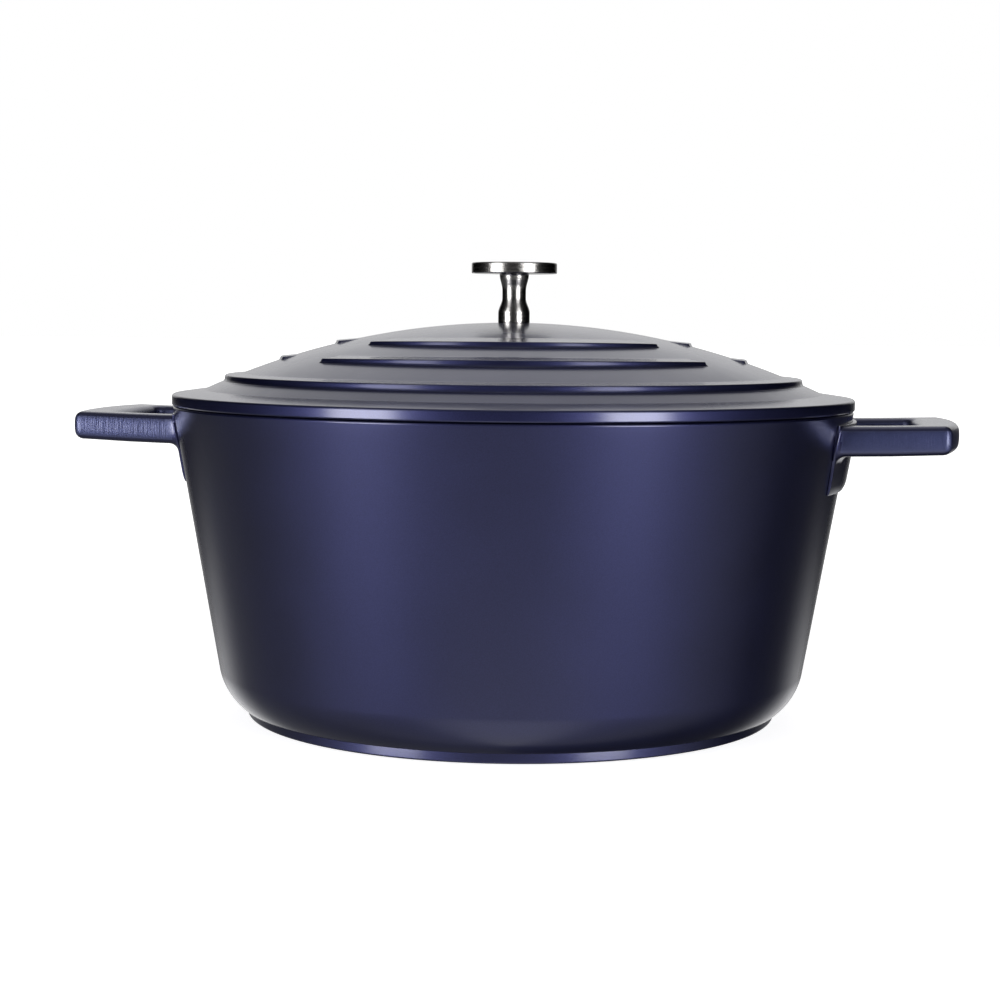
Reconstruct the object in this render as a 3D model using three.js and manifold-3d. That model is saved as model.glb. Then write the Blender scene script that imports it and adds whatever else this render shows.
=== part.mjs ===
// A round lidded casserole, 28 cm inside the rim: a cast pot with a loop handle on each side, each
// held by two screws from inside, and a domed lid with a turned knob that one screw holds.
// Millimetres, +Z up. The origin is at the middle of the foot's underside and +X runs along the handles.

import * as THREE from 'three';
import { mergeVertices } from 'three/addons/utils/BufferGeometryUtils.js';
import Module from 'manifold-3d';

const wasm = await Module();
wasm.setup();

// Pot
const RIM_R = 145.7;
const RIM_Z = 132.3;
const DRAFT = THREE.MathUtils.degToRad(9.8); // the wall leans out by this much
const WALL_T = 4.2;
const CORNER_R = 25;
const CORNER_Z = 24.3; // height of the corner arc's centre
const FLOOR_Z = 6.5; // top of the inside floor
const FOOT_R = 114.2;
const FOOT_H = 4.7;
const FOOT_RECESS_R = 100; // the underside is hollowed a little inside this radius
const FOOT_RECESS_H = 1;
const RIM_EDGE_R = 1.2;
const GAP = 0.3; // between pieces that touch

// Lid: part of a sphere, with a flat flange and low lips standing on it
const LID_TURN = 9; // degrees: the lid rests turned by this much against the handles
const DOME_R = 315;
const DOME_Z = 168.3; // top of the dome
const LID_T = 3.2;
const FLANGE_R = 146;
const FLANGE_Z = 132.6; // underside of the flange
const FLANGE_H = 4.6; // height of the flange's band
const FLANGE_RISE = THREE.MathUtils.degToRad(8); // slope of the flange's top
const SKIRT_R = 139.9; // outside of the ring that centres the lid in the pot
const SKIRT_T = 2.4;
const SKIRT_Z = 129;
const LIP_RISE = THREE.MathUtils.degToRad(5); // slope of each lip's top
const LIP_ARCS = [
  { from: -52, to: 52, share: 1 },
  { from: 75, to: 105, share: 0.65 },
  { from: 128, to: 232, share: 1 },
  { from: 255, to: 285, share: 0.65 },
]; // degrees from the lid's front; share is how much of the lip's full height an arc has
const LIPS = [
  { r: 123.7, h: 2.4, arcs: null }, // goes all the way round
  { r: 100.3, h: 2.3, arcs: LIP_ARCS },
  { r: 76.5, h: 2.1, arcs: LIP_ARCS },
];

// Knob and the screw under it
const KNOB_R = 18.4;
const KNOB_Z = 194; // top of the disc
const DISC_H = 4.7;
const STEM_FLARE_R = 6.2;
const STEM_WAIST_R = 5.1;
const STEM_FOOT_R = 6.8;
const STEM_FOOT_Z = 172.6; // top of the stem's straight foot
const SCREW_R = 2.4;
const SCREW_HEAD_R = 6.5;
const SCREW_HEAD_H = 2.6;
const SCREW_DEPTH = 9; // how far the knob's screw goes up into the stem
const WASHER_R = 8.5;
const WASHER_T = 1.2;

// Handles
const HANDLE_X = 189; // outermost point
const HANDLE_HALF_W = 41;
const HANDLE_T = 12.2;
const HANDLE_Z = 121.7; // middle of the loop where it meets the wall
const HANDLE_RISE = THREE.MathUtils.degToRad(1.9); // the loop climbs outward by this much
const HANDLE_BOW_R = 170; // the grip bows outward along an arc this wide
const HANDLE_CORNER_R = 3.5;
const BAR_W = 13; // the two side bars
const GRIP_W = 17; // the cross bar
const WINDOW_CORNER_R = 4;
const HANDLE_EDGE_R = 2.2;
const PAD_T = 2.4; // the handle's plate stands out from the wall by this much
const PAD_TOP_Z = 128.4;
const PAD_BOTTOM_Z = 99.5;
const PAD_TOP_HALF_W = 41.8;
const PAD_BOTTOM_HALF_W = 37.4;
const HANDLE_SCREW_Z = 122;
const HANDLE_SCREW_AZ = 13.8; // degrees to each side of the handle
const HANDLE_SCREW_R = 2.5;
const HANDLE_SCREW_HEAD_R = 5;
const HANDLE_SCREW_HEAD_H = 2.2;
const HANDLE_SCREW_L = 13; // from the inside of the wall into the handle

const TURNS = 64; // facets round the pot and the lid
const FINE_TURNS = 32; // facets round the knob and the screws

const LACQUER = { color: 0x23254a, roughness: 0.32, metalness: 0.75 };
const STEEL = { color: 0xa9a7a3, roughness: 0.3, metalness: 1 };

// ---- helpers ----

const wallR = (z) => RIM_R - Math.tan(DRAFT) * (RIM_Z - z);
const insideR = (z) => wallR(z) - WALL_T / Math.cos(DRAFT);
const domeZ = (r, drop = 0) => DOME_Z - DOME_R + Math.sqrt((DOME_R - drop) ** 2 - r ** 2);

// Points along an arc, both ends included; angles in radians
function arc(cx, cy, r, from, to, steps) {
  const points = [];
  for (let i = 0; i <= steps; i += 1) {
    const a = from + ((to - from) * i) / steps;
    points.push([cx + r * Math.cos(a), cy + r * Math.sin(a)]);
  }
  return points;
}

// Points on the dome between two radii, or on its inner face with a drop
function domeArc(fromR, toR, steps, drop = 0) {
  const points = [];
  for (let i = 0; i <= steps; i += 1) {
    const r = fromR + ((toR - fromR) * i) / steps;
    points.push([r, domeZ(r, drop)]);
  }
  return points;
}

// Turns an outline of [radius, height] points, anticlockwise, about Z
function turned(outline, turns = TURNS) {
  const points = outline.map(([r, z]) => new THREE.Vector2(r, z));
  if (outline[0][0] > 0) points.push(points[0].clone());
  return new THREE.LatheGeometry(points, turns).rotateX(Math.PI / 2);
}

function solid(geometry) {
  const plain = geometry.clone();
  plain.deleteAttribute('normal');
  plain.deleteAttribute('uv');
  const merged = mergeVertices(plain, 1e-4);
  return new wasm.Manifold(new wasm.Mesh({
    numProp: 3,
    vertProperties: new Float32Array(merged.attributes.position.array),
    triVerts: new Uint32Array(merged.index.array),
  }));
}

function geometryOf(manifold) {
  const mesh = manifold.getMesh();
  const geometry = new THREE.BufferGeometry();
  geometry.setAttribute('position', new THREE.BufferAttribute(new Float32Array(mesh.vertProperties), 3));
  geometry.setIndex(new THREE.BufferAttribute(new Uint32Array(mesh.triVerts), 1));
  geometry.computeVertexNormals();
  return geometry;
}

function named(name, geometry, look) {
  const mesh = new THREE.Mesh(geometry, new THREE.MeshStandardMaterial(look));
  mesh.name = name;
  return mesh;
}

// ---- handle screws: where they sit, and the solids they need ----

// Carries a shape drawn along +X, from the inside of the wall outward, to a screw's place
function atScrew(geometry, azimuth) {
  return geometry
    .rotateY(DRAFT)
    .translate(insideR(HANDLE_SCREW_Z), 0, HANDLE_SCREW_Z)
    .rotateZ(THREE.MathUtils.degToRad(azimuth));
}

function screwShape(outline, azimuth) {
  return atScrew(turned(outline, FINE_TURNS / 2).rotateY(Math.PI / 2), azimuth);
}

function screwHole(azimuth) {
  const r = HANDLE_SCREW_R + GAP;
  return screwShape([[0, -2], [r, -2], [r, HANDLE_SCREW_L + GAP], [0, HANDLE_SCREW_L + GAP]], azimuth);
}

function handleScrew(azimuth) {
  return screwShape([
    [0, -GAP - HANDLE_SCREW_HEAD_H],
    [HANDLE_SCREW_HEAD_R * 0.7, -GAP - HANDLE_SCREW_HEAD_H],
    [HANDLE_SCREW_HEAD_R, -GAP - HANDLE_SCREW_HEAD_H * 0.5],
    [HANDLE_SCREW_HEAD_R, -GAP],
    [HANDLE_SCREW_R, -GAP],
    [HANDLE_SCREW_R, HANDLE_SCREW_L],
    [0, HANDLE_SCREW_L],
  ], azimuth);
}

const SIDES = { right: 0, left: 180 };
const SCREWS = Object.entries(SIDES).flatMap(([side, azimuth]) => [
  { name: `handle_screw_${side}_front`, azimuth: azimuth + (side === 'right' ? -1 : 1) * HANDLE_SCREW_AZ },
  { name: `handle_screw_${side}_back`, azimuth: azimuth + (side === 'right' ? 1 : -1) * HANDLE_SCREW_AZ },
]);

// ---- pot ----

function potBody() {
  const cornerX = wallR(CORNER_Z) - CORNER_R / Math.cos(DRAFT);
  const insideCornerR = CORNER_R - WALL_T;
  const insideCornerZ = FLOOR_Z + insideCornerR;
  const insideCornerX = insideR(insideCornerZ) - insideCornerR / Math.cos(DRAFT);
  const rimInnerR = insideR(RIM_Z);
  const shell = solid(turned([
    [0, FOOT_RECESS_H],
    [FOOT_RECESS_R, FOOT_RECESS_H],
    [FOOT_RECESS_R + FOOT_RECESS_H, 0],
    [FOOT_R - 0.5, 0],
    [FOOT_R, 0.5],
    [FOOT_R, FOOT_H],
    ...arc(cornerX, CORNER_Z, CORNER_R, -Math.asin((CORNER_Z - FOOT_H) / CORNER_R), -DRAFT, 7),
    ...arc(RIM_R - RIM_EDGE_R, RIM_Z - RIM_EDGE_R, RIM_EDGE_R, -DRAFT, Math.PI / 2, 2),
    ...arc(rimInnerR + RIM_EDGE_R, RIM_Z - RIM_EDGE_R, RIM_EDGE_R, Math.PI / 2, Math.PI - DRAFT, 2),
    ...arc(insideCornerX, insideCornerZ, insideCornerR, -DRAFT, -Math.PI / 2, 7),
    [0, FLOOR_Z],
  ]));
  const drilled = SCREWS.reduce((pot, { azimuth }) => pot.subtract(solid(screwHole(azimuth))), shell);
  return named('pot_body', geometryOf(drilled), LACQUER);
}

// ---- handles ----

// A rectangle from x0, half as wide as halfW each way, whose far end bows out to x1 and has round corners
function bowedEnd(path, x0, x1, halfW, r) {
  const bowX = x1 - HANDLE_BOW_R;
  const cornerX = bowX + Math.sqrt((HANDLE_BOW_R - r) ** 2 - (halfW - r) ** 2);
  const half = Math.asin((halfW - r) / (HANDLE_BOW_R - r)); // half the angle that the bow spans
  path.moveTo(x0, -halfW);
  path.lineTo(cornerX, -halfW);
  path.absarc(cornerX, r - halfW, r, -Math.PI / 2, -half, false);
  path.absarc(bowX, 0, HANDLE_BOW_R, -half, half, false);
  path.absarc(cornerX, halfW - r, r, half, Math.PI / 2, false);
  path.lineTo(x0, halfW);
  path.closePath();
  return path;
}

// The pot's wall as a plain cone, grown by a distance, to cut the handle to its shape
function wallCone(grown) {
  const low = PAD_BOTTOM_Z - 20;
  const high = RIM_Z + 20;
  return solid(turned([[0, low], [wallR(low) + grown, low], [wallR(high) + grown, high], [0, high]]));
}

function handle(side) {
  const rootX = RIM_R - 20;
  const outline = bowedEnd(new THREE.Shape(), rootX, HANDLE_X, HANDLE_HALF_W, HANDLE_CORNER_R);
  const padX = wallR(HANDLE_Z) + PAD_T;
  outline.holes.push(bowedEnd(
    new THREE.Path(), rootX + 5, HANDLE_X - GRIP_W, HANDLE_HALF_W - BAR_W, WINDOW_CORNER_R,
  ));
  const loop = new THREE.ExtrudeGeometry(outline, {
    depth: HANDLE_T - 2 * HANDLE_EDGE_R,
    curveSegments: 6,
    bevelThickness: HANDLE_EDGE_R,
    bevelSize: HANDLE_EDGE_R,
    bevelOffset: -HANDLE_EDGE_R,
    bevelSegments: 2,
  })
    .translate(-padX, 0, HANDLE_EDGE_R - HANDLE_T / 2)
    .rotateY(-HANDLE_RISE)
    .translate(padX, 0, HANDLE_Z);
  const padFace = new THREE.Shape([
    new THREE.Vector2(-PAD_TOP_HALF_W, PAD_TOP_Z),
    new THREE.Vector2(-PAD_BOTTOM_HALF_W, PAD_BOTTOM_Z),
    new THREE.Vector2(PAD_BOTTOM_HALF_W, PAD_BOTTOM_Z),
    new THREE.Vector2(PAD_TOP_HALF_W, PAD_TOP_Z),
  ]);
  const padBlock = new THREE.ExtrudeGeometry(padFace, { depth: 40, bevelEnabled: false })
    .rotateX(Math.PI / 2)
    .rotateZ(Math.PI / 2)
    .translate(padX - 30, 0, 0);
  const pad = solid(padBlock).intersect(wallCone(PAD_T));
  const casting = [-1, 1].reduce(
    (body, way) => body.subtract(solid(screwHole(way * HANDLE_SCREW_AZ))),
    solid(loop).add(pad).subtract(wallCone(GAP)),
  );
  const mesh = named(`handle_${side}`, geometryOf(casting), LACQUER);
  mesh.rotation.z = THREE.MathUtils.degToRad(SIDES[side]);
  return mesh;
}

// ---- lid ----

// Where a lip's sloping top runs back into the dome
function lipInnerR(r, top, rise) {
  let inner = r;
  while (top + (r - inner) * Math.tan(rise) > domeZ(inner)) inner -= 0.1;
  return inner;
}

// A wedge of the space round the axis, between two angles from the lid's front
function sector(from, to) {
  const toPlan = (degrees) => THREE.MathUtils.degToRad(degrees - 90);
  const points = arc(0, 0, FLANGE_R, toPlan(from), toPlan(to), 12).map(([x, y]) => new THREE.Vector2(x, y));
  const wedge = new THREE.Shape([new THREE.Vector2(0, 0), ...points]);
  const depth = DOME_Z + 10 - FLANGE_Z;
  return solid(new THREE.ExtrudeGeometry(wedge, { depth, bevelEnabled: false }).translate(0, 0, FLANGE_Z));
}

function lipRing(r, h) {
  const top = domeZ(r) + h;
  const inner = lipInnerR(r, top, LIP_RISE);
  const root = 1; // how far the wedge reaches into the dome
  return solid(turned([
    [inner, domeZ(inner) - root],
    [r, domeZ(r) - root],
    [r, top],
    [inner, top + (r - inner) * Math.tan(LIP_RISE)],
  ]));
}

function lip({ r, h, arcs }) {
  if (!arcs) return lipRing(r, h);
  return arcs
    .map(({ from, to, share }) => lipRing(r, h * share).intersect(sector(from, to)))
    .reduce((all, one) => all.add(one));
}

function lidShell() {
  const flangeTop = FLANGE_Z + FLANGE_H;
  const flangeInnerR = lipInnerR(FLANGE_R, flangeTop, FLANGE_RISE);
  const holeR = SCREW_R + GAP;
  const skirtInnerR = SKIRT_R - SKIRT_T;
  const edge = 0.8;
  const dome = solid(turned([
    [skirtInnerR, SKIRT_Z],
    [SKIRT_R, SKIRT_Z],
    [SKIRT_R, FLANGE_Z],
    [FLANGE_R - edge, FLANGE_Z],
    [FLANGE_R, FLANGE_Z + edge],
    ...arc(FLANGE_R - edge, flangeTop - edge, edge, 0, Math.PI / 2 - FLANGE_RISE, 2),
    ...domeArc(flangeInnerR, STEM_FOOT_R + 2, 10),
    [holeR, domeZ(STEM_FOOT_R + 2)],
    ...domeArc(holeR, skirtInnerR, 9, LID_T).map(([r, z]) => [r, Math.max(z, FLANGE_Z)]),
  ]));
  const whole = LIPS.map(lip).reduce((body, one) => body.add(one), dome);
  return named('lid', geometryOf(whole), LACQUER);
}

function knob() {
  const seatZ = domeZ(STEM_FOOT_R + 2) + GAP;
  const under = KNOB_Z - DISC_H;
  const edge = 0.5;
  const waistLow = 178.8;
  const waistHigh = 184;
  const boreR = SCREW_R + GAP;
  const boreTop = seatZ + SCREW_DEPTH;
  return named('knob', turned([
    [0, boreTop],
    [boreR, boreTop],
    [boreR, seatZ],
    [STEM_FOOT_R, seatZ],
    [STEM_FOOT_R, STEM_FOOT_Z],
    [STEM_WAIST_R, waistLow],
    [STEM_WAIST_R, waistHigh],
    [STEM_FLARE_R, under],
    [KNOB_R - edge, under],
    [KNOB_R, under + edge],
    [KNOB_R, KNOB_Z - edge],
    [KNOB_R - edge, KNOB_Z],
    [0, KNOB_Z],
  ], FINE_TURNS), STEEL);
}

function knobWasher() {
  const top = domeZ(SCREW_R + GAP, LID_T) - GAP * 2;
  const holeR = SCREW_R + GAP;
  return named('knob_washer', turned([
    [holeR, top - WASHER_T],
    [WASHER_R, top - WASHER_T],
    [WASHER_R, top],
    [holeR, top],
  ], FINE_TURNS), STEEL);
}

function knobScrew() {
  const headTop = domeZ(SCREW_R + GAP, LID_T) - GAP * 3 - WASHER_T;
  const headBottom = headTop - SCREW_HEAD_H;
  const end = domeZ(STEM_FOOT_R + 2) + SCREW_DEPTH;
  return named('knob_screw', turned([
    [0, headBottom],
    [SCREW_HEAD_R * 0.7, headBottom],
    [SCREW_HEAD_R, headBottom + SCREW_HEAD_H * 0.5],
    [SCREW_HEAD_R, headTop],
    [SCREW_R, headTop],
    [SCREW_R, end],
    [0, end],
  ], FINE_TURNS), STEEL);
}

// ---- the whole object ----

const pot = new THREE.Group();
pot.add(potBody(), handle('right'), handle('left'));
for (const { name, azimuth } of SCREWS) pot.add(named(name, handleScrew(azimuth), STEEL));

const lid = new THREE.Group();
lid.add(lidShell(), knob(), knobWasher(), knobScrew());
lid.rotation.z = THREE.MathUtils.degToRad(LID_TURN);

const casserole = new THREE.Group();
casserole.add(pot, lid);

export default casserole;
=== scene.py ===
"""A 28 cm casserole pot in satin navy lacquer, with its domed lid and turned steel knob.

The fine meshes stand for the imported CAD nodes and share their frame: +Z up, the origin at the middle of
the foot's underside, +X along the handles. Shapes are drawn in millimetres and stored in metres.
"""
import math

import bpy
import numpy as np
from mathutils import Matrix, Vector


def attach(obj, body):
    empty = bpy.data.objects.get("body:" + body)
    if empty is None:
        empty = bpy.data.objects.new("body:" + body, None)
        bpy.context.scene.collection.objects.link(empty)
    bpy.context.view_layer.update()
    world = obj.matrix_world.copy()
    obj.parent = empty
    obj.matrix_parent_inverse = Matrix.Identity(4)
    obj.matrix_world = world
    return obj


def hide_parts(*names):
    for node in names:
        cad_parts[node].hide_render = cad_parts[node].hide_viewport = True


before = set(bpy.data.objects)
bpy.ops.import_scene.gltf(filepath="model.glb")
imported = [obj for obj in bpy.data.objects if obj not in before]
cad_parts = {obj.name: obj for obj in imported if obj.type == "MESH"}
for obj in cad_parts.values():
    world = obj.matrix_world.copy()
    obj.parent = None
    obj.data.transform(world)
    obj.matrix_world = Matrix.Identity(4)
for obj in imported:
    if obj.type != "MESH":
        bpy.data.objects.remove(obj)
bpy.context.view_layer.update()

MM = 0.001
GAP = 0.3  # between pieces that touch

# The pot
RIM_R = 145.7
RIM_Z = 132.3
RIM_BAND = 6.0  # the rim's own outline starts this far below its top
DRAFT = math.radians(9.8)  # the wall leans out by this much
WALL_T = 4.2
CORNER_R = 25.0
CORNER_Z = 24.3  # height of the corner arc's centre
FLOOR_Z = 6.5  # top of the inside floor
FOOT_R = 114.2
FOOT_H = 4.7
FOOT_RECESS_R = 100.0  # the underside is hollowed a little inside this radius
FOOT_RECESS_H = 1.0

# The lid: part of a sphere, with a sloping flange and low lips standing on it
LID_TURN = math.radians(9)  # the lid rests turned by this much against the handles
DOME_R = 315.0
DOME_Z = 168.3
LID_T = 3.2
FLANGE_R = 146.0
FLANGE_Z = 132.6  # underside of the flange
FLANGE_H = 4.6  # height of the flange's band
FLANGE_RISE = math.radians(8)  # slope of the flange's top
SKIRT_R = 139.9  # outside of the ring that centres the lid in the pot
SKIRT_T = 2.4
SKIRT_Z = 129.0
LIP_RISE = math.radians(5)  # slope of each lip's top
LONG_ARC = (51, 1.0, 0.7)  # half width in degrees, share of the lip's height in the middle and at the ends
SHORT_ARC = (15, 0.65, 0.6)
ARCS = ((0, *LONG_ARC), (90, *SHORT_ARC), (180, *LONG_ARC), (270, *SHORT_ARC))  # degrees from the lid's front
LIPS = ((123.7, 2.4, ()), (100.3, 2.3, ARCS), (76.5, 2.1, ARCS))  # radius, height, arcs if it is broken
LIP_EDGE = 0.65  # rounding of a lip's upper edge
LIP_WALL_LEAN = 0.3  # how far a lip's upright side leans out over its height
LIP_ROOT = 0.5  # fillet between a lip and the dome
LIP_END = 1.6  # length over which an arc's end comes up to its height

# The knob, and the hole and the seat for its screw
KNOB_R = 18.4
KNOB_Z = 194.0  # top of the disc
DISC_H = 4.7
STEM_FOOT_R = 6.8
STEM_FOOT_Z = 172.6  # top of the stem's straight foot
STEM_WAIST_R = 5.1
WAIST_LOW_Z, WAIST_HIGH_Z = 178.8, 182.2
STEM_FLARE_R = 6.3
STEM_TOP_R = 6.6  # where the flare meets the disc
STEM_TOP_H = 0.4
SEAT_RING_W = 0.8  # the stem's outermost ring, which rests on the dome
SEAT_MARGIN = 2.0  # the dome's height this far outside the stem sets the seat's height
KNOB_SEAT_Z = DOME_Z - DOME_R + math.sqrt(DOME_R**2 - (STEM_FOOT_R + SEAT_MARGIN) ** 2) + GAP
KNOB_BORE_L = 9.0
SCREW_HOLE_R = 2.7

# The handles: a loop of two side bars and a grip, on a plate against the wall
HANDLE_X = 189.0  # outermost point
HANDLE_HALF_W = 41.0
HANDLE_BOW_R = 170.0  # the grip bows outward along an arc this wide
BAR_W = 13.0
GRIP_W = 17.0
HANDLE_ROOT_X = 147.0
HANDLE_TOP_Z, HANDLE_TOP_SLOPE = 127.9, 0.026  # at the root, and the climb per millimetre outward
HANDLE_BOTTOM_Z, HANDLE_BOTTOM_SLOPE = 115.5, 0.042
HANDLE_CORNER_R = 3.5
WINDOW_CORNER_R = 4.0
HANDLE_EDGE = 2.8  # rounding of the bars' long edges
HANDLE_CROWN = 0.75  # how far the bars' upright faces bulge
BAR_START_X = 152.0  # where the root's rings have ended
GROUND_BAR_X, GROUND_END_X = 140.5, 151.0  # where ground faces start on the bars' sides, and elsewhere
ROOT_SECTION_X = 150.0  # the root's rings have the bar's section at this place
ROOT_FILLET = 3.2
ROOT_OUTER_SHARE = 0.15  # share of the fillet's reach on the side where the plate ends
ROOT_SUNK = 1.5  # how far the bars reach into the plate
ROOT_LEAD = 0.8  # from the fillet's end to the last root ring
PAD_T = 2.4
PAD_SIDE_DROP, PAD_BOTTOM_DROP, PAD_TOP_DROP = 0.5, 0.45, 0.3  # share of the thickness lost at the edges
PAD_BOTTOM_ROLL, PAD_TOP_ROLL = 4.0, 1.5  # height over which it is lost
PAD_TOP_Z = 128.4
PAD_BOTTOM_Z = 99.5
PAD_TOP_HALF_W = 41.8
PAD_BOTTOM_HALF_W = 37.4
PAD_EDGE = 0.5
PAD_SEAM = 0.05  # between the plate and the wall

# The screws and the washer
HANDLE_SCREW_AZ = math.radians(13.8)  # to each side of the handle
HANDLE_SCREW_Z = 122.0
HANDLE_SCREW_R = 2.5
HANDLE_SCREW_L = 13.0  # from the inside of the wall into the handle
HANDLE_SCREW_HEAD = (5.0, 2.2)  # radius, height
KNOB_SCREW_R = 2.4
KNOB_SCREW_HEAD = (6.5, 2.6)
SOCKET_R_SHARE, SOCKET_DEPTH_SHARE = 0.42, 0.65  # of the head's radius and height
WASHER_R = 8.5
WASHER_T = 1.2

# The camera, which looks from a little above the rim: metres, with the lens and the sensor in millimetres
CAMERA_TURN = math.radians(9)
CAMERA_DISTANCE = 0.880
CAMERA_HEIGHT = 0.1713
CAMERA_YAW = math.radians(-0.345)
CAMERA_PITCH = math.radians(5.19)
CAMERA_ROLL = math.radians(0.515)
CAMERA_LENS = 73.1
SENSOR_WIDTH = 36.0

# The studio: how bright the things are that the pot mirrors
BACK_LIGHT = 1.0
HORIZON_LIGHT = 0.8
FRONT_LIGHT = 0.02
TOP_LIGHT = 0.3
FLOOR_LIGHT = 0.36
FLOOR_LEFT = 0.17
FLOOR_RIGHT = 0.03
FLOOR_FRONT = 0.67
FLOOR_BACK = 1.1
STRIPS = ((-49.5, 11.5, 13.4), (40.0, 10.5, 13.6))  # angle round, half width, brightness
STRIP_TOP_SHARE = 0.25  # brightness of the strips' upper part

# Where they fade in or out, in degrees away from the camera's side, left and right alike
BACK_EDGE = (137, 168)
HORIZON_EDGE = (148, 160)
SKIRTING_EDGE = (152, 175)
OVERHEAD_EDGE = (100, 137)
FRONT_EDGE = (10, 60)
APRON_EDGE = (15, 50)
FAR_FLOOR_EDGE = (125, 158)
FLOOR_SIDE = (70, 110)
STRIP_SOFT = 2

# And in degrees above the horizon
BACK_RISE = (3, 15)
HORIZON_RISE = (-2, 3)
OVERHEAD_RISE = (28, 62)
FLOOR_END = (-13, -7)
APRON_END = (-40, -24)
FAR_FLOOR_START = (-38, -17)
FAR_FLOOR_END = (-17, -9)
STRIP_LOW, STRIP_HIGH, STRIP_END_SOFT = -12.5, 42.0, 3
STRIP_DIMMING = (3, 15)

# The floor that the camera sees, in metres, and its glow near the pot and far from it
FLOOR_HALF = 12
FLOOR_DROP = 0.0005
FLOOR_GLOW, FLOOR_FAR_GLOW = 0.86, 1.1
FLOOR_GLOW_RANGE = (0.2, 0.9)


# ---------------------------------------------------------------- outlines and meshes

def wall_r(z):
    """Radius of the pot's outer wall at a height."""
    return RIM_R - math.tan(DRAFT) * (RIM_Z - z)


def inside_r(z):
    """Radius of the wall's inner face at a height."""
    return wall_r(z) - WALL_T / math.cos(DRAFT)


def dome_z(r, drop=0.0):
    """Height of the dome at a radius, or of its inner face with a drop."""
    return DOME_Z - DOME_R + np.sqrt((DOME_R - drop) ** 2 - np.asarray(r) ** 2)


def arc(cx, cy, r, start, end, steps):
    """Points along an arc, both ends included; angles in radians."""
    angles = np.linspace(start, end, steps + 1)
    return [(cx + r * math.cos(a), cy + r * math.sin(a)) for a in angles]


def rounded(corners, steps=4):
    """Outline points from (radius, height, fillet) corners; a corner with no fillet stays sharp."""
    points = []
    for i, (x, y, r) in enumerate(corners):
        if r == 0:
            points.append((x, y))
            continue
        here = Vector((x, y))
        before = Vector(corners[i - 1][:2])
        after = Vector(corners[(i + 1) % len(corners)][:2])
        back = (before - here).normalized()
        on = (after - here).normalized()
        half = back.angle(on) / 2
        reach = r / math.tan(half)
        centre = here + (back + on).normalized() * (r / math.sin(half))
        start = here + back * reach - centre
        turn = start.angle_signed(here + on * reach - centre)
        for step in range(steps + 1):
            point = centre + Matrix.Rotation(-turn * step / steps, 2) @ start
            points.append((point.x, point.y))
    return points


def mesh_piece(name, points, faces, slots, face_slots=None):
    """A smooth-shaded object from millimetre points; face_slots picks the material of each face."""
    mesh = bpy.data.meshes.new(name)
    mesh.from_pydata([tuple(np.asarray(p, dtype=float) * MM) for p in points], [], faces)
    for slot in slots:
        mesh.materials.append(slot)
    if face_slots is not None:
        mesh.polygons.foreach_set("material_index", face_slots)
    mesh.polygons.foreach_set("use_smooth", [True] * len(mesh.polygons))
    mesh.validate()
    piece = bpy.data.objects.new(name, mesh)
    bpy.context.scene.collection.objects.link(piece)
    return piece


def weigh_normals(piece):
    """Keeps broad faces flat in shading right up to their rounded edges."""
    modifier = piece.modifiers.new("weighted normals", "WEIGHTED_NORMAL")
    modifier.keep_sharp = True
    return piece


def hexagon(r, angle):
    """From a hexagon's middle to its outline at an angle; r is half the width across its flats."""
    return r / math.cos((angle % (math.pi / 3)) - math.pi / 6)


def turned(name, outline, slots, turns, second_from=None, hexed=()):
    """An outline of (radius, height) turned about Z. Ends on the axis close in a fan, others in a loop.

    The bands from the outline point second_from on have the second material; hexed lists the outline
    points whose rings are hexagons.
    """
    if second_from is None:
        second_from = len(outline)
    points = []
    rings = []
    angles = [2 * math.pi * i / turns for i in range(turns)]
    for index, (r, z) in enumerate(outline):
        if r == 0:
            rings.append([len(points)] * turns)
            points.append((0, 0, z))
            continue
        rings.append(list(range(len(points), len(points) + turns)))
        for a in angles:
            ring_r = hexagon(r, a) if index in hexed else r
            points.append((ring_r * math.cos(a), ring_r * math.sin(a), z))
    closed = outline[0][0] > 0
    faces = []
    face_slots = []
    for index in range(len(rings) if closed else len(rings) - 1):
        low, high = rings[index], rings[(index + 1) % len(rings)]
        for i in range(turns):
            j = (i + 1) % turns
            face = [low[i], low[j], high[j], high[i]]
            faces.append(list(dict.fromkeys(face)))
            face_slots.append(int(index >= second_from))
    return mesh_piece(name, points, faces, slots, face_slots)


# ---------------------------------------------------------------- materials

NAVY_TONES = (0.0235, 0.0262, 0.083), (0.033, 0.0368, 0.116)
GROUND_TONES = (0.049, 0.058, 0.152), (0.07, 0.083, 0.208)
COAT_TONES = (0.022, 0.022, 0.024), (0.2, 0.2, 0.2)
STEEL_TONES = (0.36, 0.35, 0.34), (0.52, 0.51, 0.5)
NOISE_RANGE = (0.3, 0.7)  # where most of a noise texture's values lie


class Nodes:
    """A node tree, with short calls for the nodes used here."""

    def __init__(self, tree):
        self.tree = tree

    def add(self, kind, **settings):
        node = self.tree.nodes.new(kind)
        for key, value in settings.items():
            setattr(node, key, value)
        return node

    def link(self, source, target):
        self.tree.links.new(source, target)

    def ramp(self, source, low, high, to_low, to_high, interpolation="LINEAR"):
        node = self.add("ShaderNodeMapRange", interpolation_type=interpolation)
        for key, value in zip(("From Min", "From Max", "To Min", "To Max"), (low, high, to_low, to_high)):
            node.inputs[key].default_value = value
        self.link(source, node.inputs["Value"])
        return node.outputs["Result"]

    def maths(self, operation, first, second=None):
        node = self.add("ShaderNodeMath", operation=operation)
        for socket, value in zip(node.inputs, (first, second)):
            if isinstance(value, (int, float)):
                socket.default_value = value
            elif value is not None:
                self.link(value, socket)
        return node.outputs[0]

    def plus(self, first, second):
        return self.maths("ADD", first, second)

    def times(self, first, second):
        return self.maths("MULTIPLY", first, second)

    def smooth(self, source, low, high, to_low=0.0, to_high=1.0):
        return self.ramp(source, low, high, to_low, to_high, "SMOOTHSTEP")


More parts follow.
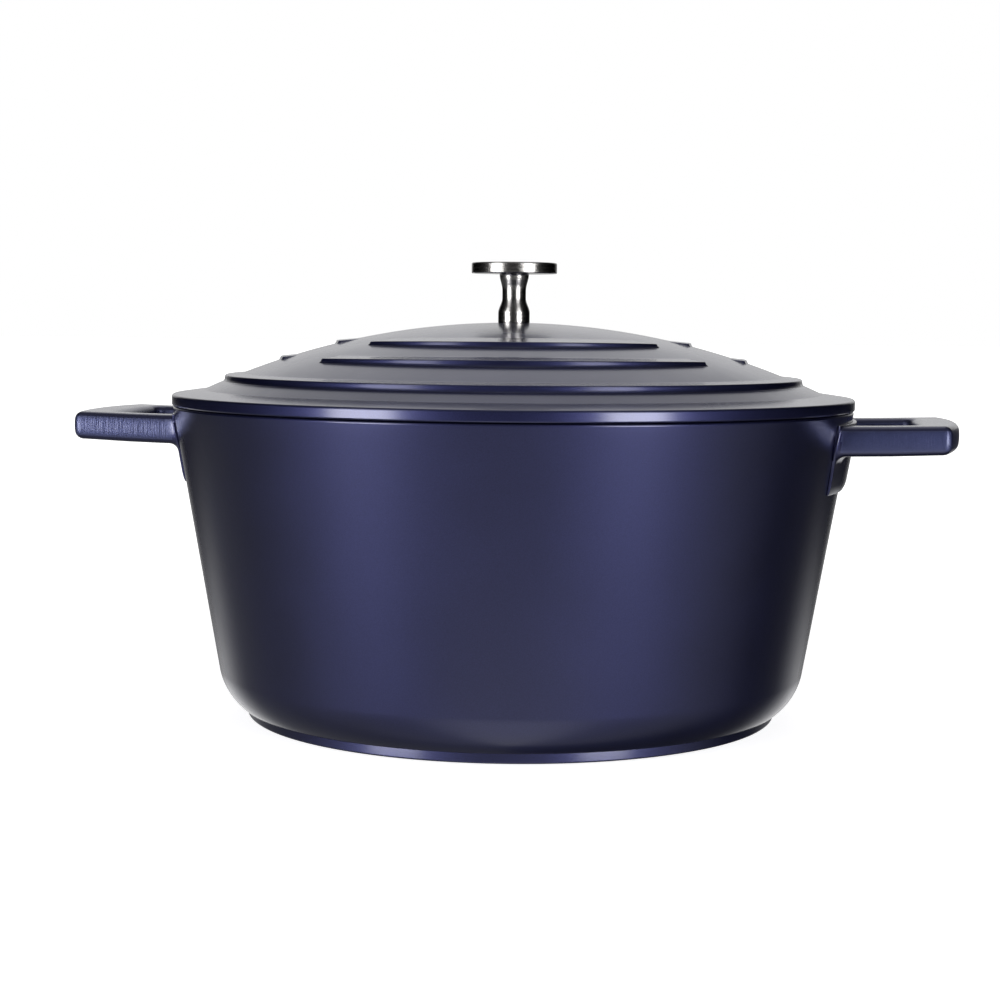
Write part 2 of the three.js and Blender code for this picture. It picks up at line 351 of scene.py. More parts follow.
class Finish(Nodes):
    """A material's nodes."""

    def __init__(self, name):
        self.material = bpy.data.materials.new(name)
        self.material.use_nodes = True
        super().__init__(self.material.node_tree)
        self.shader = self.tree.nodes["Principled BSDF"]
        self.place = self.add("ShaderNodeTexCoord").outputs["Object"]

    def fixed(self, **values):
        for key, value in values.items():
            self.shader.inputs[key.replace("_", " ")].default_value = value

    def stretched(self, scale):
        """The object's own coordinates, scaled differently along each axis."""
        mapping = self.add("ShaderNodeMapping")
        mapping.inputs["Scale"].default_value = scale
        self.link(self.place, mapping.inputs["Vector"])
        return mapping.outputs["Vector"]

    def noise(self, vector, scale, detail=2.0, roughness=0.5):
        node = self.add("ShaderNodeTexNoise")
        node.inputs["Scale"].default_value = scale
        node.inputs["Detail"].default_value = detail
        node.inputs["Roughness"].default_value = roughness
        self.link(vector, node.inputs["Vector"])
        return node.outputs["Fac"]

    def spread(self, noise, low, high):
        """A noise's usual range, mapped to run from low to high."""
        return self.ramp(noise, *NOISE_RANGE, low, high)

    def blend(self, factor, first, second):
        node = self.add("ShaderNodeMix", data_type="RGBA")
        factor_in, first_in, second_in = node.inputs[0], node.inputs[6], node.inputs[7]
        self.link(factor, factor_in)
        first_in.default_value = (*first, 1)
        second_in.default_value = (*second, 1)
        return node.outputs[2]

    def bump(self, height, strength, distance, normal=None):
        node = self.add("ShaderNodeBump")
        node.inputs["Strength"].default_value = strength
        node.inputs["Distance"].default_value = distance
        self.link(height, node.inputs["Height"])
        if normal:
            self.link(normal, node.inputs["Normal"])
        return node.outputs["Normal"]

    def radius_and_height(self):
        """Distance from the axis and height, in metres."""
        parts = self.add("ShaderNodeSeparateXYZ")
        self.link(self.place, parts.inputs[0])
        x, y, z = parts.outputs
        return self.maths("SQRT", self.plus(self.times(x, x), self.times(y, y))), z

    def rings(self, density):
        """Fine noise that runs in rings round the axis, as a lathe leaves it."""
        r, z = self.radius_and_height()
        place = self.add("ShaderNodeCombineXYZ")
        self.link(r, place.inputs[0])
        self.link(z, place.inputs[1])
        return self.noise(place.outputs[0], density, detail=3.0, roughness=0.6)


def lacquer(name="navy_lacquer", ground=False):
    """Satin clear lacquer over navy with fine metal flake; ground faces show the belt marks under it."""
    n = Finish(name)
    flake = n.noise(n.place, scale=2600, detail=1.0)
    mottle = n.noise(n.place, scale=9, detail=3.0)
    tone = n.plus(n.spread(flake, 0.0, 0.6), n.spread(mottle, 0.0, 0.4))
    n.link(n.blend(tone, *(GROUND_TONES if ground else NAVY_TONES)), n.shader.inputs["Base Color"])
    roughness = (0.46, 0.53) if ground else (0.39, 0.46)
    n.link(n.spread(n.noise(n.place, scale=40, detail=4.0), *roughness), n.shader.inputs["Roughness"])
    n.fixed(Metallic=0.95, Coat_Weight=1.0, Coat_Roughness=0.29 if ground else 0.18, Coat_IOR=1.5)
    normal = n.bump(n.noise(n.place, scale=420), strength=0.05, distance=0.0004)
    if ground:
        marks = n.noise(n.stretched((1, 1, 0.05)), scale=900, detail=3.0, roughness=0.65)
        normal = n.bump(marks, strength=0.42, distance=0.0004, normal=normal)
        n.link(normal, n.shader.inputs["Coat Normal"])
    n.link(normal, n.shader.inputs["Normal"])
    return n.material


def nonstick():
    """Dark grey cooking coat with pale mineral specks."""
    n = Finish("nonstick_coat")
    specks = n.ramp(n.noise(n.place, scale=1100, detail=1.0), 0.68, 0.74, 0, 1)
    n.link(n.blend(specks, *COAT_TONES), n.shader.inputs["Base Color"])
    n.link(n.spread(n.noise(n.place, scale=60, detail=3.0), 0.42, 0.54), n.shader.inputs["Roughness"])
    grain = n.noise(n.place, scale=700, detail=3.0)
    n.link(n.bump(grain, strength=0.12, distance=0.0004), n.shader.inputs["Normal"])
    return n.material


def turned_steel():
    """Stainless steel finished on a lathe: fine rings in its colour, its gloss and its surface."""
    n = Finish("turned_steel")
    fine = n.rings(density=5200)
    wide = n.rings(density=900)
    n.link(n.blend(n.spread(wide, 0, 1), *STEEL_TONES), n.shader.inputs["Base Color"])
    n.link(n.spread(fine, 0.15, 0.27), n.shader.inputs["Roughness"])
    n.fixed(Metallic=1.0)
    n.link(n.bump(fine, strength=0.24, distance=0.0002), n.shader.inputs["Normal"])
    return n.material


# ---------------------------------------------------------------- the pieces

def stand_for(piece, body, slot, *nodes):
    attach(piece, body)
    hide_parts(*nodes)
    return piece


def pot_body(outside, inside):
    """The cast pot, lacquered outside and coated inside."""
    corner_x = wall_r(CORNER_Z) - CORNER_R / math.cos(DRAFT)
    inner_r = CORNER_R - WALL_T
    inner_z = FLOOR_Z + inner_r
    inner_x = inside_r(inner_z) - inner_r / math.cos(DRAFT)
    corner_start = -math.asin((CORNER_Z - FOOT_H) / CORNER_R)
    foot = rounded([
        (0, FOOT_RECESS_H, 0),
        (FOOT_RECESS_R, FOOT_RECESS_H, 0.4),
        (FOOT_RECESS_R + FOOT_RECESS_H, 0, 0.4),
        (FOOT_R, 0, 0.8),
        (FOOT_R, FOOT_H, 0.35),
        (corner_x + CORNER_R * math.cos(corner_start), FOOT_H, 0),
    ])[:-1]
    corner = arc(corner_x, CORNER_Z, CORNER_R, corner_start, -DRAFT, 20)
    band_z = RIM_Z - RIM_BAND
    rim = rounded([
        (wall_r(band_z), band_z, 0),
        (RIM_R, RIM_Z, 0.9),
        (inside_r(RIM_Z), RIM_Z, 1.3),
        (inside_r(band_z), band_z, 0),
    ])
    bowl = arc(inner_x, inner_z, inner_r, -DRAFT, -math.pi / 2, 16)
    outline = [*foot, *corner, *rim, *bowl, (0, FLOOR_Z)]
    coat_start = len(foot) + len(corner) + len(rim) - 4  # in the middle of the rim's inner rounding
    piece = weigh_normals(turned("pot", outline, [outside, inside], 256, second_from=coat_start))
    return stand_for(piece, "pot", "lacquered_casting", "pot_body")


def lip_inner_r(r, top, rise):
    """Where a lip's sloping top runs back into the dome."""
    step = 0.05
    while top > dome_z(r):
        r -= step
        top += step * math.tan(rise)
    return r


def rounded_drop(inside, edge):
    """How far a surface falls below its top near a rounded edge; inside is the distance to the edge."""
    u = np.clip(edge - inside, 0, edge)
    return edge - np.sqrt(edge**2 - u**2)


def degrees_between(one, other):
    return abs((one - other + 180) % 360 - 180)


def arc_share(r, degrees, arcs):
    """How much of a lip's full height stands at an angle: lower towards an arc's ends, none outside it."""
    share = 0.0
    for middle, half, middle_share, end_share in arcs:
        off = degrees_between(degrees, middle)
        t = min(max(math.radians(half - off) * r / LIP_END, 0), 1)
        here = middle_share + (end_share - middle_share) * (off / half) ** 2
        share = max(share, here * t * t * (3 - 2 * t))
    return share


def lid_height(radii, degrees):
    """Height of the lid's upper face at each radius, at an angle from the lid's front."""
    dome = dome_z(radii)
    z = dome
    for lip_r, full_height, arcs in LIPS:
        height = full_height * (arc_share(lip_r, degrees, arcs) if arcs else 1)
        if height < 1e-3:
            continue
        outside = np.clip(radii - lip_r, 0, None)
        plane = float(dome_z(lip_r)) + height + (lip_r - radii) * math.tan(LIP_RISE)
        plane -= rounded_drop(lip_r - radii, min(LIP_EDGE, height))
        plane -= outside * full_height / LIP_WALL_LEAN
        root = min(LIP_ROOT, height / 2)
        foot = np.where(outside > 0, rounded_drop(outside - LIP_WALL_LEAN, root), 0)
        z = np.maximum(z, np.maximum(plane, dome + foot))
    return z


def lid_radii(inner, outer):
    """Sample radii: even over the dome, close together at each lip's edge."""
    even_step, clear = 2.4, 2
    close = [-1.3, -0.65, -0.52, -0.37, -0.22, -0.1, 0, 0.1, 0.2, 0.3, 0.42, 0.6, 0.8, 1.4]
    radii = [*np.arange(inner, outer, even_step), outer]
    for lip_r, height, _ in LIPS:
        radii = [r for r in radii if abs(r - lip_r) > clear]
        radii += [lip_r + step for step in close]
        radii += [lip_inner_r(lip_r, float(dome_z(lip_r)) + height, LIP_RISE)]
    return np.array(sorted(set(radii)))


def lid_angles():
    """Sample angles in degrees: even round the lid, close together at each arc's ends."""
    even_step, clear = 2.0, 1.3
    close = [-0.6, 0, 0.15, 0.3, 0.45, 0.6, 0.75, 0.9, 1.1]
    angles = list(np.arange(0, 360, even_step))
    for middle, half, _, _ in ARCS:
        for edge, way in ((middle - half, 1), (middle + half, -1)):
            angles = [a for a in angles if degrees_between(a, edge) > clear]
            angles += [(edge + way * step) % 360 for step in close]
    return np.array(sorted(set(angles)))


def lid_under(flange_inner, flange_top):
    """The lid's outline from the flange's edge, under it and round the skirt, to the screw hole."""
    skirt_inner = SKIRT_R - SKIRT_T
    rise = (FLANGE_R - flange_inner) * math.tan(FLANGE_RISE)
    under = rounded([
        (flange_inner, flange_top + rise, 0),
        (FLANGE_R, flange_top, 1.1),
        (FLANGE_R, FLANGE_Z, 0.7),
        (SKIRT_R, FLANGE_Z, 0.5),
        (SKIRT_R, SKIRT_Z, 0.6),
        (skirt_inner, SKIRT_Z, 0.6),
        (skirt_inner, float(dome_z(skirt_inner, LID_T)), 0),
    ])[1:]
    inner_radii = np.linspace(skirt_inner, SCREW_HOLE_R, 36)[1:]
    return under + [(r, float(dome_z(r, LID_T))) for r in inner_radii]


def lid_casting(look):
    """The cast lid, whose upper face is sampled at each radius and angle."""
    flange_top = FLANGE_Z + FLANGE_H
    flange_inner = lip_inner_r(FLANGE_R, flange_top, FLANGE_RISE)
    radii = lid_radii(SCREW_HOLE_R, flange_inner)
    angles = lid_angles()
    under = lid_under(flange_inner, flange_top)
    points = []
    for degrees in angles:
        turn = math.radians(degrees - 90) + LID_TURN
        across, along = math.cos(turn), math.sin(turn)
        heights = lid_height(radii, degrees)
        heights[0] = heights[1]  # level round the screw hole
        points += [(r * across, r * along, z) for r, z in (*zip(radii, heights), *under)]
    per = len(radii) + len(under)
    faces = []
    for i in range(len(angles)):
        here, there = i * per, ((i + 1) % len(angles)) * per
        for k in range(per):
            on = (k + 1) % per
            faces.append([here + k, here + on, there + on, there + k])
    piece = weigh_normals(mesh_piece("lid.casting", points, faces, [look]))
    return stand_for(piece, "lid_with_knob", "lacquered_casting", "lid")


def eased(start, end, steps):
    """Points from one (radius, height) to another, leaving and arriving straight up or down."""
    points = []
    for i in range(1, steps + 1):
        t = i / steps
        ease = t * t * (3 - 2 * t)
        points.append((start[0] + (end[0] - start[0]) * ease, start[1] + (end[1] - start[1]) * t))
    return points


def knob(look):
    """The disc on its waisted stem, with a bore for the screw and a ring that rests on the dome."""
    under = KNOB_Z - DISC_H
    bore_top = KNOB_SEAT_Z + KNOB_BORE_L
    ring_inner = STEM_FOOT_R - SEAT_RING_W
    ring_z = float(dome_z(ring_inner))
    waist_low, waist_high = (STEM_WAIST_R, WAIST_LOW_Z), (STEM_WAIST_R, WAIST_HIGH_Z)
    outline = [
        (0, bore_top),
        (SCREW_HOLE_R, bore_top),
        *rounded([(SCREW_HOLE_R, KNOB_SEAT_Z, 0.3), (ring_inner, KNOB_SEAT_Z, 0), (ring_inner, ring_z, 0),
                  (STEM_FOOT_R, ring_z, 0.2), (STEM_FOOT_R, STEM_FOOT_Z, 0)]),
        *eased((STEM_FOOT_R, STEM_FOOT_Z), waist_low, 10),
        *eased(waist_low, waist_high, 2),
        *eased(waist_high, (STEM_FLARE_R, under - STEM_TOP_H), 8),
        *rounded([(STEM_TOP_R, under, 0), (KNOB_R, under, 0.5), (KNOB_R, KNOB_Z, 0.7), (0, KNOB_Z, 0)]),
    ]
    piece = weigh_normals(turned("lid.knob", outline, [look], 128))
    return stand_for(piece, "lid_with_knob", "stainless_steel", "knob")


def cap_screw(name, look, shank_r, shank_l, head, place):
    """A low round head with a hexagon socket, head down, and a plain shank that runs up to shank_l."""
    head_r, head_h = head
    socket_r = head_r * SOCKET_R_SHARE
    socket_z = head_h * SOCKET_DEPTH_SHARE - head_h
    chamfer_r = socket_r * 1.3
    flat_r, side_z = head_r * 0.8, -head_h * 0.45
    outline = [
        (0, socket_z),
        (socket_r, socket_z),
        (socket_r, -head_h),
        *rounded([(chamfer_r, -head_h, 0), (flat_r, -head_h, 0.6), (head_r, side_z, 0.5), (head_r, 0, 0.2),
                  (shank_r, 0, 0.15), (shank_r, shank_l, 0.3), (0, shank_l, 0)], 3),
    ]
    piece = weigh_normals(turned(name, outline, [look], 48, hexed=(1, 2)))
    piece.data.transform(place)
    return piece


def handle_screw(name, look, azimuth, node):
    """A screw from inside the pot's wall into one of a handle's side bars."""
    at = Vector((inside_r(HANDLE_SCREW_Z), 0, HANDLE_SCREW_Z)) * MM
    place = (Matrix.Rotation(azimuth, 4, "Z") @ Matrix.Translation(at)
             @ Matrix.Rotation(DRAFT + math.pi / 2, 4, "Y") @ Matrix.Translation((0, 0, -GAP * MM)))
    piece = cap_screw(name, look, HANDLE_SCREW_R, HANDLE_SCREW_L + GAP, HANDLE_SCREW_HEAD, place)
    return stand_for(piece, "pot", "stainless_steel", node)


def knob_fixing(look):
    """The washer under the lid, and the screw that runs up through it into the knob."""
    top = float(dome_z(SCREW_HOLE_R, LID_T)) - 2 * GAP
    bottom = top - WASHER_T
    washer = weigh_normals(turned("lid.washer", rounded([
        (SCREW_HOLE_R, bottom, 0.2),
        (WASHER_R, bottom, 0.3),
        (WASHER_R, top, 0.3),
        (SCREW_HOLE_R, top, 0.2),
    ]), [look], 96))
    stand_for(washer, "lid_with_knob", "stainless_steel", "knob_washer")
    seat = bottom - GAP
    shank_l = KNOB_SEAT_Z + KNOB_BORE_L - GAP - seat
    place = Matrix.Translation((0, 0, seat * MM))
    screw = cap_screw("lid.screw", look, KNOB_SCREW_R, shank_l, KNOB_SCREW_HEAD, place)
    stand_for(screw, "lid_with_knob", "stainless_steel", "knob_screw")


# ---------------------------------------------------------------- handles

def handle_top(x):
    return HANDLE_TOP_Z + (x - HANDLE_ROOT_X) * HANDLE_TOP_SLOPE


def handle_bottom(x):
    return HANDLE_BOTTOM_Z + (x - HANDLE_ROOT_X) * HANDLE_BOTTOM_SLOPE


def side_profile():
    """Half of the bar's upright face, from its top edge down to the middle.

    Each entry is (inset, share of the half height, outward part of the normal, upward part).
    """
    steps = 4
    rows = []
    half_height = (handle_top(HANDLE_X) - handle_bottom(HANDLE_X)) / 2
    edge = HANDLE_EDGE / half_height
    for step in range(steps + 1):
        a = math.pi / 2 * step / steps
        rows.append((HANDLE_EDGE * (1 - math.sin(a)), 1 - edge * (1 - math.cos(a)), math.sin(a), math.cos(a)))
    rows += [(0, (1 - edge) / 2, 1, 0), (0, 0, 1, 0)]
    return [(inset + HANDLE_CROWN * share**2, share, out, up) for inset, share, out, up in rows]


def bar_section(outer, outward, inner, inward):
    """One ring round the bar, between a point on its outer outline in plan and one on its window's.

    outward and inward point away from the bar. Each entry is (point in plan, height, sideways part of the
    point's own outward direction, upward part), where sideways is positive away from the window.
    """
    half = side_profile()
    down = half + [(inset, -share, out, -up) for inset, share, out, up in reversed(half[:-1])]
    ring = []
    sides = ((outer, outward, 1, down), (inner, inward, -1, list(reversed(down))))
    for edge, away, sign, rows in sides:
        for inset, share, out, up in rows:
            plan = edge - away * inset
            top, bottom = handle_top(plan.x), handle_bottom(plan.x)
            ring.append((plan, (top + bottom) / 2 + share * (top - bottom) / 2, sign * out, up))
    return ring


def bowed_end(end_x, half_w, r):
    """Half of a loop's far end in plan, from the straight side round to the middle, with its normals."""
    corner_steps, bow_steps = 12, 8
    bow_x = end_x - HANDLE_BOW_R
    corner_x = bow_x + math.sqrt((HANDLE_BOW_R - r) ** 2 - (half_w - r) ** 2)
    half = math.asin((half_w - r) / (HANDLE_BOW_R - r))
    points = []
    for step in range(corner_steps + 1):
        a = -math.pi / 2 + (math.pi / 2 - half) * step / corner_steps
        turn = Vector((math.cos(a), math.sin(a)))
        points.append((Vector((corner_x, r - half_w)) + turn * r, turn))
    for step in range(1, bow_steps + 1):
        a = -half * (1 - step / bow_steps)
        turn = Vector((math.cos(a), math.sin(a)))
        points.append((Vector((bow_x, 0)) + turn * HANDLE_BOW_R, turn))
    return points


def pad_half_w(z):
    """Half the width of the handle's plate at a height."""
    wider = PAD_TOP_HALF_W - PAD_BOTTOM_HALF_W
    return PAD_BOTTOM_HALF_W + wider * (z - PAD_BOTTOM_Z) / (PAD_TOP_Z - PAD_BOTTOM_Z)


def pad_t(y, z):
    """Thickness of the plate, which thins towards its sides and rolls off at its top and bottom."""
    side = 1 - PAD_SIDE_DROP * (y / pad_half_w(z)) ** 2
    bottom = 1 - PAD_BOTTOM_DROP * (1 - min((z - PAD_BOTTOM_Z) / PAD_BOTTOM_ROLL, 1)) ** 2
    top = 1 - PAD_TOP_DROP * (1 - min((PAD_TOP_Z - z) / PAD_TOP_ROLL, 1)) ** 2
    return PAD_T * side * bottom * top


def pad_x(y, z, off=0.0):
    """How far out the plate's face is, or a place off it by a distance."""
    r = wall_r(z) + (pad_t(y, z) + off) / math.cos(DRAFT)
    return math.sqrt(r * r - y * y)


def root_rings(way):
    """A side bar's first rings, which follow the plate and flare into it; way is -1 for the front bar."""
    r = ROOT_FILLET
    steps = 6
    outer = Vector((ROOT_SECTION_X, way * HANDLE_HALF_W))
    inner = Vector((ROOT_SECTION_X, way * (HANDLE_HALF_W - BAR_W)))
    section = bar_section(outer, Vector((0, way)), inner, Vector((0, -way)))
    flare = [r * (1 - math.cos(math.pi / 2 * k / steps)) for k in range(1, steps + 1)]
    rings = []
    for off in (-ROOT_SUNK, 0, *flare, r + ROOT_LEAD):
        grow = r - math.sqrt(max(0.0, r * r - (r - min(max(off, 0), r)) ** 2))
        ring = []
        for plan, z, sideways, up in section:
            side = grow * sideways * (ROOT_OUTER_SHARE if sideways > 0 else 1.0)
            y = plan.y + way * side
            height = z + (grow * up if up < 0 else 0)
            ring.append((pad_x(y, min(height, PAD_TOP_Z), off), y, height))
        rings.append(ring)
    return rings


def loop_mesh():
    """The handle's loop as rings of points from the front bar's root round to the back bar's."""
    inner_half = HANDLE_HALF_W - BAR_W
    outer_end = bowed_end(HANDLE_X, HANDLE_HALF_W, HANDLE_CORNER_R)
    inner_end = bowed_end(HANDLE_X - GRIP_W, inner_half, WINDOW_CORNER_R)
    quarter = []
    for share in (0.3, 0.65):  # of the way along the bar to the corner
        outer_x = BAR_START_X + (outer_end[0][0].x - BAR_START_X) * share
        inner_x = BAR_START_X + (inner_end[0][0].x - BAR_START_X) * share
        outer, inner = Vector((outer_x, -HANDLE_HALF_W)), Vector((inner_x, -inner_half))
        quarter.append((outer, Vector((0, -1)), inner, Vector((0, 1))))
    for (outer, outward), (inner, inward) in zip(outer_end, inner_end):
        quarter.append((outer, outward, inner, -inward))
    mirrored = [tuple(Vector((v.x, -v.y)) for v in station) for station in reversed(quarter[:-1])]
    rings = root_rings(-1)
    for station in (*quarter, *mirrored):
        rings.append([(plan.x, plan.y, z) for plan, z, _, _ in bar_section(*station)])
    rings += reversed(root_rings(1))
    return rings


def handle(name, azimuth, node, lacquered, ground):
    """The loop and its plate in one piece, with ground faces round the loop."""
    rings = loop_mesh()
    per = len(rings[0])
    points = [point for ring in rings for point in ring]
    faces = [list(range(per))[::-1], [len(points) - per + k for k in range(per)]]
    for i in range(len(rings) - 1):
        for k in range(per):
            on = (k + 1) % per
            faces.append([i * per + k, i * per + on, (i + 1) * per + on, (i + 1) * per + k])
    piece = mesh_piece(name, points, faces, [lacquered, ground])
    join_solids(piece, pad_mesh(name + ".pad", lacquered))
    for face in piece.data.polygons:
        upright = abs(face.normal.z) < 0.5
        sideways = abs(face.normal.y) > 0.7
        start = GROUND_BAR_X if sideways else GROUND_END_X
        face.material_index = int(upright and face.center.x > start * MM)
    piece.data.transform(Matrix.Rotation(azimuth, 4, "Z"))
    weigh_normals(piece)
    return stand_for(piece, "pot", "lacquered_casting", node)


def pad_mesh(name, look):
    """The curved plate behind the loop, with rounded edges."""
    levels = (0, 0.03, 0.07, 0.13, 0.3, 0.55, 0.8, 0.9, 0.95, 1)
    columns, rows = 24, len(levels) - 1
    points = []
    for seam in (True, False):
        for level in levels:
            z = PAD_BOTTOM_Z + (PAD_TOP_Z - PAD_BOTTOM_Z) * level
            for column in range(columns + 1):
                y = pad_half_w(z) * (2 * column / columns - 1)
                x = math.sqrt((wall_r(z) + PAD_SEAM) ** 2 - y * y) if seam else pad_x(y, z)
                points.append((x, y, z))

    def at(layer, row, column):
        return (layer * (rows + 1) + row) * (columns + 1) + column

    faces = []
    for row in range(rows):
        for column in range(columns):
            quad = [(row, column), (row, column + 1), (row + 1, column + 1), (row + 1, column)]
            faces.append([at(1, *corner) for corner in quad])
            faces.append([at(0, *corner) for corner in reversed(quad)])
    for column in range(columns):
        for row, low, high in ((0, 0, 1), (rows, 1, 0)):
            faces.append([at(low, row, column), at(low, row, column + 1),
                          at(high, row, column + 1), at(high, row, column)])
    for row in range(rows):
        for column, low, high in ((0, row + 1, row), (columns, row, row + 1)):
            faces.append([at(0, low, column), at(0, high, column), at(1, high, column), at(1, low, column)])
    piece = mesh_piece(name, points, faces, [look])
    bevel = piece.modifiers.new("edges", "BEVEL")
    bevel.width = PAD_EDGE * MM
    bevel.segments = 3
    bevel.limit_method = "ANGLE"
    bevel.angle_limit = math.radians(50)
    return piece


def join_solids(piece, other):
    """Unites other into piece, and removes other."""
    union = piece.modifiers.new("union", "BOOLEAN")
    union.operation = "UNION"
    union.solver = "EXACT"
    union.object = other
    depsgraph = bpy.context.evaluated_depsgraph_get()
    mesh = bpy.data.meshes.new_from_object(piece.evaluated_get(depsgraph))
    piece.modifiers.clear()
    piece.data = mesh
    bpy.data.objects.remove(other)


# ---------------------------------------------------------------- camera and studio

def camera():
    data = bpy.data.cameras.new("camera")
    data.lens = CAMERA_LENS
    data.sensor_width = SENSOR_WIDTH
    data.clip_start = 0.01
    forward = Vector((math.sin(CAMERA_YAW) * math.cos(CAMERA_PITCH),
                      math.cos(CAMERA_YAW) * math.cos(CAMERA_PITCH), -math.sin(CAMERA_PITCH)))
    right = Vector((math.cos(CAMERA_YAW), -math.sin(CAMERA_YAW), 0))
    up = right.cross(forward)
    rolled_right = math.cos(CAMERA_ROLL) * right + math.sin(CAMERA_ROLL) * up
    rolled_up = -math.sin(CAMERA_ROLL) * right + math.cos(CAMERA_ROLL) * up
    facing = Matrix((rolled_right, rolled_up, -forward)).transposed().to_4x4()
    seen_from = Matrix.Translation((0, -CAMERA_DISTANCE, CAMERA_HEIGHT))
    thing = bpy.data.objects.new("camera", data)
    thing.matrix_world = Matrix.Rotation(CAMERA_TURN, 4, "Z") @ seen_from @ facing
    bpy.context.scene.collection.objects.link(thing)
    bpy.context.scene.camera = thing


def floor():
    """Pale near the pot and whiter with distance; the pot takes its light from the studio alone."""
    mesh = bpy.data.meshes.new("floor")
    corners = [(x * FLOOR_HALF, y * FLOOR_HALF, 0) for x, y in ((-1, -1), (1, -1), (1, 1), (-1, 1))]
    mesh.from_pydata(corners, [], [(0, 1, 2, 3)])
    thing = bpy.data.objects.new("floor", mesh)
    thing.location.z = -FLOOR_DROP
    n = Finish("pale_floor")
    n.fixed(Base_Color=(0.8, 0.8, 0.8, 1), Roughness=0.9, Emission_Color=(1, 1, 1, 1))
    far, _ = n.radius_and_height()
    glow = n.smooth(far, *FLOOR_GLOW_RANGE, FLOOR_GLOW, FLOOR_FAR_GLOW)
    n.link(glow, n.shader.inputs["Emission Strength"])
    mesh.materials.append(n.material)
    bpy.context.scene.collection.objects.link(thing)
    thing.visible_glossy = False
    thing.visible_diffuse = False
    thing.visible_shadow = False


def directions(n):
    """Degrees round from the camera's side, and degrees above the horizon, of what a ray meets."""
    turn = n.add("ShaderNodeVectorRotate", rotation_type="Z_AXIS")
    turn.inputs["Angle"].default_value = -CAMERA_TURN
    n.link(n.add("ShaderNodeTexCoord").outputs["Generated"], turn.inputs["Vector"])
    parts = n.add("ShaderNodeSeparateXYZ")
    n.link(turn.outputs["Vector"], parts.inputs[0])
    x, y, z = parts.outputs
    around = n.maths("DEGREES", n.maths("ARCTAN2", x, n.times(y, -1)))
    return around, n.maths("DEGREES", n.maths("ARCSINE", z))


def sky(n, aside, above):
    """A lit back wall down to its skirting, a soft overhead light in front of it and a dim front."""
    raised = n.smooth(above, *BACK_RISE)
    wall = n.times(n.smooth(aside, *BACK_EDGE, 0, BACK_LIGHT), raised)
    horizon = n.times(n.smooth(aside, *HORIZON_EDGE, 0, HORIZON_LIGHT), n.smooth(above, *HORIZON_RISE))
    below_horizon = n.smooth(above, *HORIZON_RISE, 1, 0)
    skirting = n.times(n.smooth(aside, *SKIRTING_EDGE, 0, HORIZON_LIGHT), below_horizon)
    low = n.plus(skirting, n.times(horizon, n.maths("SUBTRACT", 1, raised)))
    overhead = n.times(n.smooth(above, *OVERHEAD_RISE, 0, TOP_LIGHT), n.smooth(aside, *OVERHEAD_EDGE, 1, 0))
    return n.plus(n.plus(wall, low), n.plus(overhead, n.smooth(aside, *FRONT_EDGE, FRONT_LIGHT, 0)))


def ground(n, around, aside, above):
    """A pale floor, brighter far behind the pot and close in front of it, and darker on the right."""
    apron = n.times(n.smooth(above, *APRON_END, FLOOR_FRONT, 0), n.smooth(aside, *APRON_EDGE, 1, 0))
    depth = n.times(n.smooth(above, *FAR_FLOOR_START), n.smooth(above, *FAR_FLOOR_END, 1, 0))
    far_floor = n.times(n.smooth(aside, *FAR_FLOOR_EDGE, 0, FLOOR_BACK), depth)
    near, far = FLOOR_SIDE
    left = n.smooth(around, -far, -near, FLOOR_LEFT - FLOOR_LIGHT, 0)
    right = n.smooth(around, near, far, FLOOR_LIGHT, FLOOR_RIGHT)
    return n.plus(n.plus(far_floor, apron), n.plus(left, right))


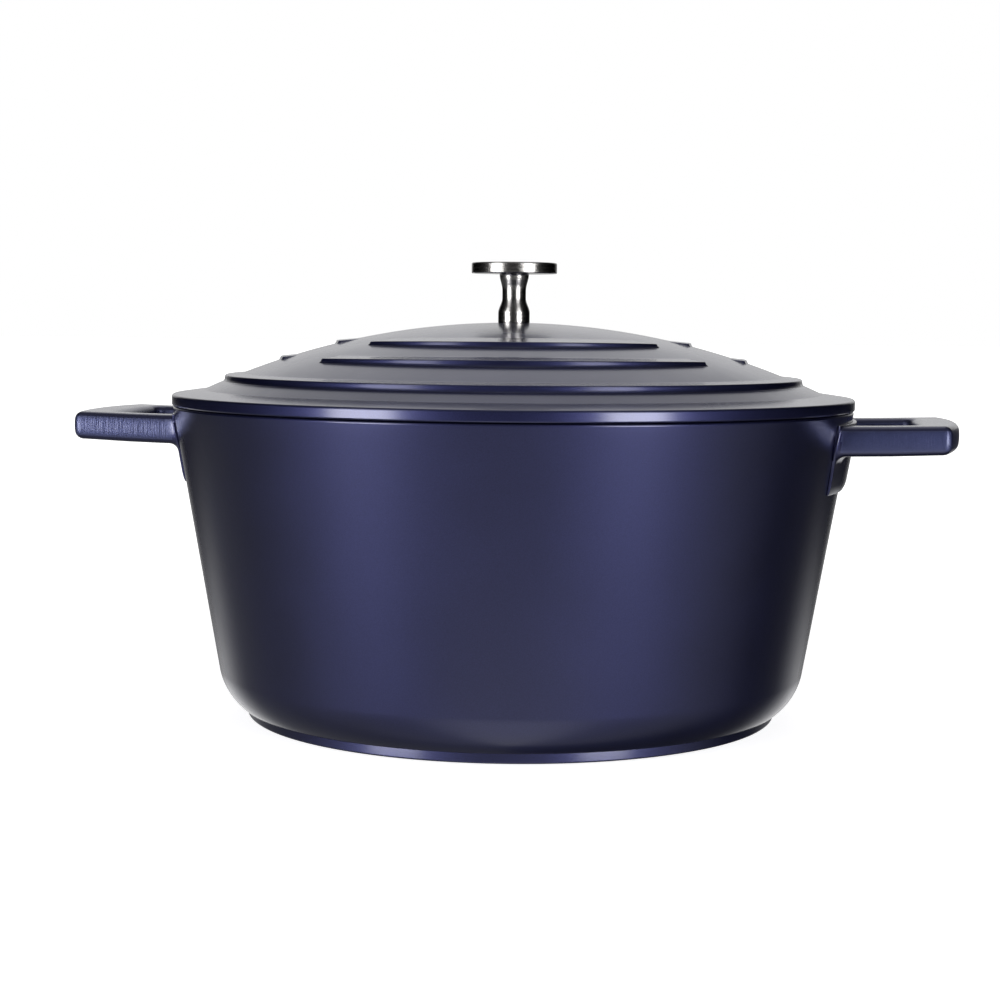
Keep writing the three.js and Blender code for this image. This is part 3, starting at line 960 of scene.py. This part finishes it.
def with_strips(n, light, around, above):
    """Adds the two upright strip lamps in front, bright low down and dimmer above."""
    bottom = n.smooth(above, STRIP_LOW - STRIP_END_SOFT, STRIP_LOW + STRIP_END_SOFT)
    top = n.smooth(above, STRIP_HIGH - STRIP_END_SOFT, STRIP_HIGH + STRIP_END_SOFT, 1, 0)
    upright = n.times(bottom, n.times(n.smooth(above, *STRIP_DIMMING, 1, STRIP_TOP_SHARE), top))
    for centre, half, power in STRIPS:
        off = n.maths("ABSOLUTE", n.maths("SUBTRACT", around, centre))
        across = n.smooth(off, half - STRIP_SOFT, half + STRIP_SOFT, power, 0)
        light = n.plus(light, n.times(across, upright))
    return light


def studio_world():
    """White for the camera. For the pot: a dim studio, lit behind, with two strip lamps in front."""
    world = bpy.data.worlds.new("studio")
    world.use_nodes = True
    n = Nodes(world.node_tree)
    backdrop = n.tree.nodes["Background"]
    backdrop.inputs["Color"].default_value = (1, 1, 1, 1)
    around, above = directions(n)
    aside = n.maths("ABSOLUTE", around)
    floor_light = n.times(ground(n, around, aside, above), n.smooth(above, *FLOOR_END, 1, 0))
    sky_light = n.times(sky(n, aside, above), n.smooth(above, *FLOOR_END))
    light = with_strips(n, n.plus(floor_light, sky_light), around, above)
    mirrored = n.add("ShaderNodeBackground")
    n.link(light, mirrored.inputs["Strength"])
    mix = n.add("ShaderNodeMixShader")
    n.link(n.add("ShaderNodeLightPath").outputs["Is Camera Ray"], mix.inputs[0])
    n.link(mirrored.outputs[0], mix.inputs[1])
    n.link(backdrop.outputs[0], mix.inputs[2])
    n.link(mix.outputs[0], n.tree.nodes["World Output"].inputs["Surface"])
    bpy.context.scene.world = world


# ---------------------------------------------------------------- build

camera()
bpy.context.scene.view_settings.view_transform = "Standard"
studio_world()
floor()

NAVY = lacquer()
GROUND = lacquer("navy_lacquer_on_ground_metal", ground=True)
STEEL = turned_steel()
COAT = nonstick()

pot_body(NAVY, COAT)
lid_casting(NAVY)
knob(STEEL)
knob_fixing(STEEL)
for side, azimuth, front_way in (("right", 0.0, -1), ("left", math.pi, 1)):
    handle(f"pot.handle_{side}", azimuth, f"handle_{side}", NAVY, GROUND)
    for end, way in (("front", front_way), ("back", -front_way)):
        node = f"handle_screw_{side}_{end}"
        handle_screw(f"pot.{node}", STEEL, azimuth + way * HANDLE_SCREW_AZ, node)
